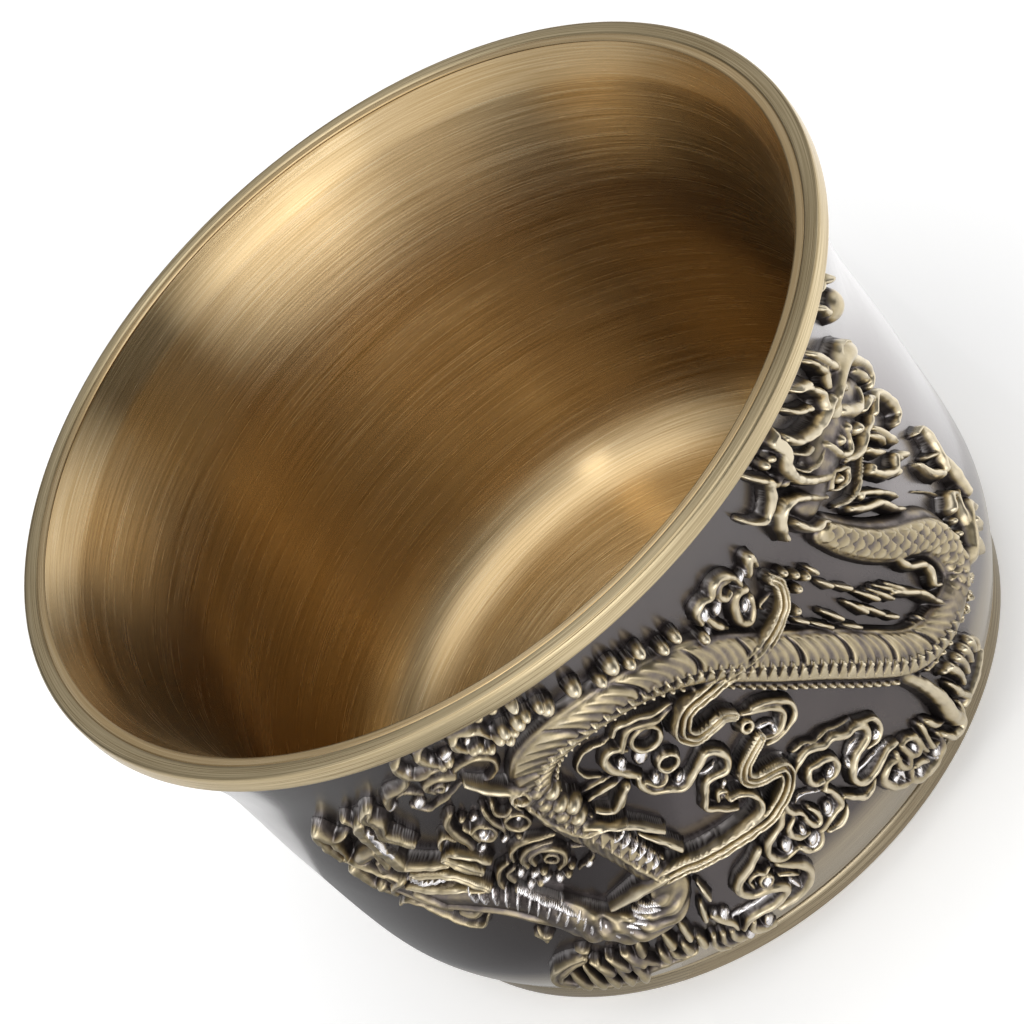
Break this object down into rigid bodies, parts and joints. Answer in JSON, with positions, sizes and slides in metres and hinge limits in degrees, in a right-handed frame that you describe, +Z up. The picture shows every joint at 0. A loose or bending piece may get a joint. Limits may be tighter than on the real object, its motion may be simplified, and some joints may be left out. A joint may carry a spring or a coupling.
{
  "type": "bronze tea cup",
  "caption": "Small round bronze tea cup with a flared lip, turned foot ring, brushed bowl and a dragon among clouds cast in high relief round the wall.",
  "frame": {"origin": "centre of the foot ring's underside, where the cup stands", "axes": "+Z up out of the mouth, along the cup's axis; the front, which faces -Y, is the side of the wall that the picture shows"},
  "size_m": [0.066, 0.066, 0.0396],
  "materials": {
    "brushed_bowl": "brushed round the axis, clear",
    "brushed_lip": "brushed round the axis, antiqued in the seam",
    "dark_wall": "gunmetal patina, satin",
    "bright_foot": "brushed round the axis",
    "antique_relief": "antiqued: bright on the high points, near black in the recesses"
  },
  "bodies": {
    "root": {"outer_shell": "dark_wall", "inner_liner": "brushed_bowl", "rim_ring": "brushed_lip", "foot_ring": "bright_foot", "back_cloud_centre": "antique_relief", "back_cloud_foot": "antique_relief", "back_cloud_heel": "antique_relief", "back_cloud_high": "antique_relief", "back_cloud_left": "antique_relief", "back_cloud_low": "antique_relief", "back_cloud_right": "antique_relief", "back_cloud_whisker": "antique_relief", "back_dragon_body": "antique_relief", "back_dragon_head": "antique_relief", "back_dragon_tail": "antique_relief", "back_water_left": "antique_relief", "back_water_right": "antique_relief", "front_cloud_centre": "antique_relief", "front_cloud_foot": "antique_relief", "front_cloud_heel": "antique_relief", "front_cloud_high": "antique_relief", "front_cloud_left": "antique_relief", "front_cloud_low": "antique_relief", "front_cloud_right": "antique_relief", "front_cloud_whisker": "antique_relief", "front_dragon_body": "antique_relief", "front_dragon_head": "antique_relief", "front_dragon_tail": "antique_relief", "front_water_left": "antique_relief", "front_water_right": "antique_relief"}
  },
  "joints": []
}
